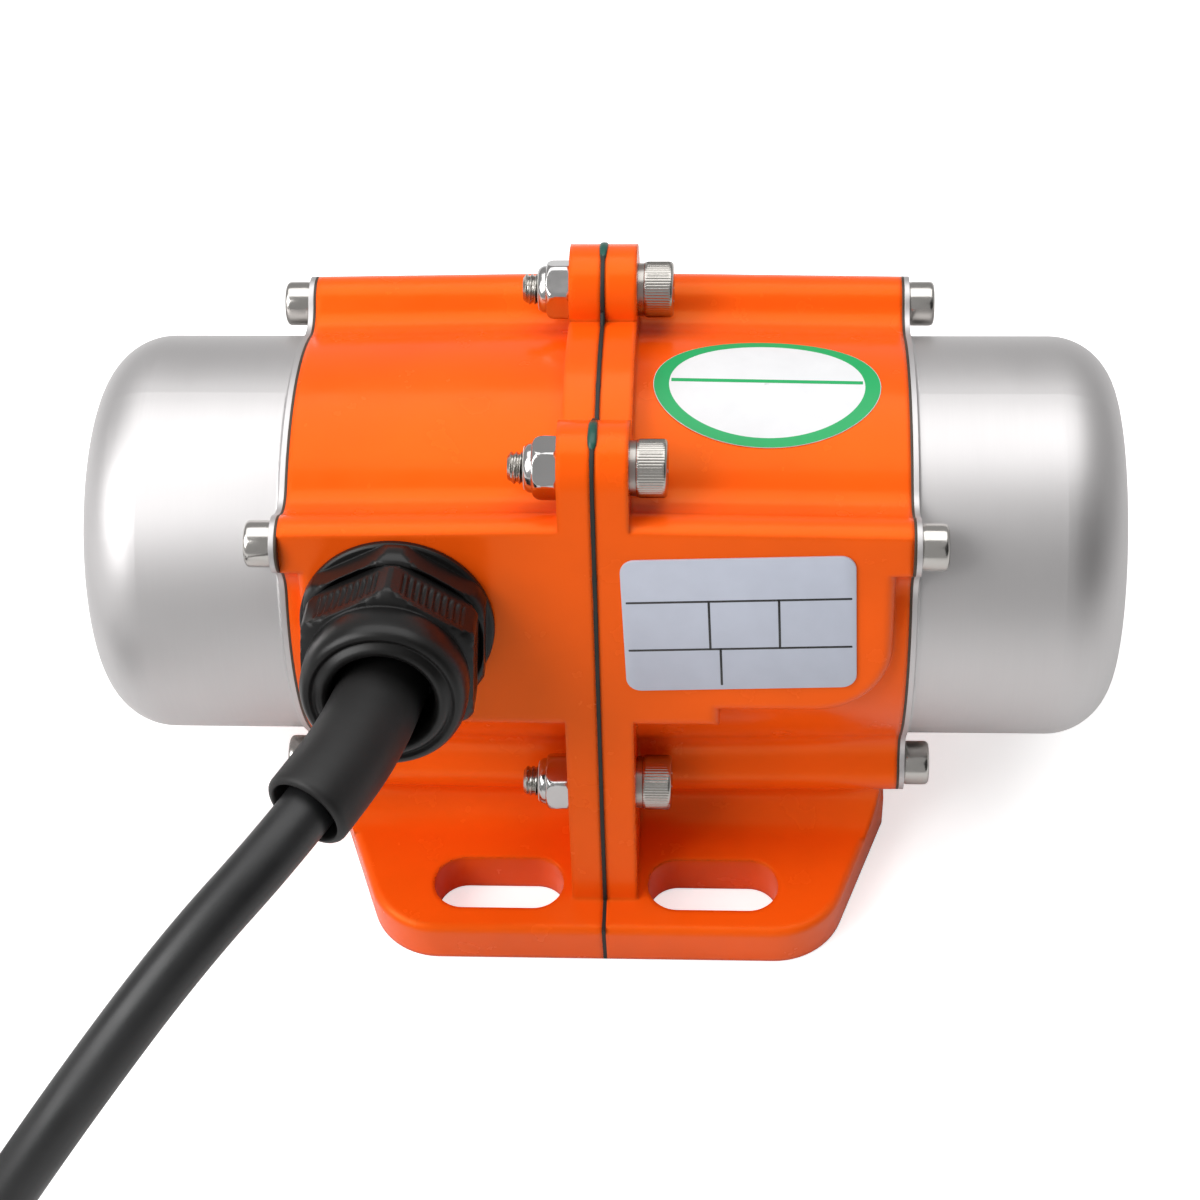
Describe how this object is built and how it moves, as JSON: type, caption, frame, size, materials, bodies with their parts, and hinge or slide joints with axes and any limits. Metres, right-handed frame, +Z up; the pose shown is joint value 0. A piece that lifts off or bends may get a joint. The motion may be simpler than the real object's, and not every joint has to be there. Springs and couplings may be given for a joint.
{
  "type": "vibration motor",
  "caption": "Foot-mounted rotary vibration motor: a lobed two-part housing, drawn end caps over unbalance weights on the shaft, and a cable through a gland.",
  "frame": {"origin": "middle of the foot's underside, in the joint plane between the housing halves", "axes": "+X along the motor shaft towards the rating plate's end, -Y towards the cable gland, +Z up from the foot"},
  "size_m": [0.2707, 0.2098, 0.0874],
  "materials": {
    "orange_enamel": "gloss orange enamel over cast aluminium",
    "gasket_sheet": "dark green-black gasket, squeezed out a little",
    "cap_steel": "drawn stainless sheet, satin",
    "screw_steel": "bright stainless",
    "zinc_steel": "zinc plated",
    "nut_insert_nylon": "white nylon",
    "spring_steel": "dark spring steel",
    "bearing_steel": "ground and polished",
    "cage_brass": "satin",
    "shield_steel": "pressed sheet",
    "core_steel": "stacked laminations",
    "winding_copper": "enamelled copper wire, varnished",
    "lead_insulation": "single colours over stranded copper",
    "rotor_aluminium": "die cast",
    "shaft_steel": "ground",
    "weight_steel": "flame cut and oiled",
    "gland_plastic": "black polyamide, half gloss",
    "gland_rubber": "black, matt",
    "cable_sheath": "black satin sheath"
  },
  "bodies": {
    "stator": {"cable_sleeve": "gland_rubber", "cord_coil": "cable_sheath", "cord_core_ends": "lead_insulation", "cord_tail": "cable_sheath", "flange_screws": "screw_steel", "gland_body": "gland_plastic", "gland_nut": "gland_plastic", "gland_seal": "gland_rubber", "gland_washer": "gland_rubber", "joint_gasket": "gasket_sheet", "lead_wires": "lead_insulation", "left_bearing_outer_ring": "bearing_steel", "left_bearing_shields": "shield_steel", "left_cap_gasket": "gasket_sheet", "left_cap_screws": "screw_steel", "left_end_cap": "cap_steel", "left_housing": "orange_enamel", "lock_nut_inserts": "nut_insert_nylon", "lock_nuts": "zinc_steel", "power_cord": "cable_sheath", "right_bearing_outer_ring": "bearing_steel", "right_bearing_shields": "shield_steel", "right_cap_gasket": "gasket_sheet", "right_cap_screws": "screw_steel", "right_end_cap": "cap_steel", "right_housing": "orange_enamel", "spring_washers": "zinc_steel", "stator_core": "core_steel", "stator_windings": "winding_copper", "wave_washer": "spring_steel"},
    "rotor": {"shaft": "shaft_steel", "rotor_core": "core_steel", "rotor_cage": "rotor_aluminium", "left_bearing_inner_ring": "bearing_steel", "left_bearing_spacer": "shaft_steel", "left_shaft_key": "shaft_steel", "left_fixed_weight": "weight_steel", "left_retaining_ring": "spring_steel", "right_bearing_inner_ring": "bearing_steel", "right_bearing_spacer": "shaft_steel", "right_shaft_key": "shaft_steel", "right_fixed_weight": "weight_steel", "right_retaining_ring": "spring_steel"},
    "left_balls": {"left_bearing_balls": "bearing_steel", "left_ball_cage": "cage_brass"},
    "left_adjustable": {"left_adjustable_weight": "weight_steel", "left_clamp_screw": "screw_steel"},
    "right_balls": {"right_bearing_balls": "bearing_steel", "right_ball_cage": "cage_brass"},
    "right_adjustable": {"right_adjustable_weight": "weight_steel", "right_clamp_screw": "screw_steel"}
  },
  "joints": [
    {"name": "rotor_spin", "type": "hinge", "parent": "stator", "child": "rotor", "pos_m": [0, 0, 0.045], "axis": [1, 0, 0], "continuous": true},
    {"name": "left_ball_orbit", "type": "hinge", "parent": "stator", "child": "left_balls", "pos_m": [0, 0, 0.045], "axis": [1, 0, 0], "continuous": true},
    {"name": "right_ball_orbit", "type": "hinge", "parent": "stator", "child": "right_balls", "pos_m": [0, 0, 0.045], "axis": [1, 0, 0], "continuous": true},
    {"name": "left_weight_setting", "type": "hinge", "parent": "rotor", "child": "left_adjustable", "pos_m": [0, 0, 0.045], "axis": [1, 0, 0], "range_deg": [0, 180]},
    {"name": "right_weight_setting", "type": "hinge", "parent": "rotor", "child": "right_adjustable", "pos_m": [0, 0, 0.045], "axis": [1, 0, 0], "range_deg": [0, 180]}
  ],
  "couplings": [
    {"joint": "left_ball_orbit", "follows": "rotor_spin", "ratio": 0.381},
    {"joint": "right_ball_orbit", "follows": "rotor_spin", "ratio": 0.381}
  ]
}
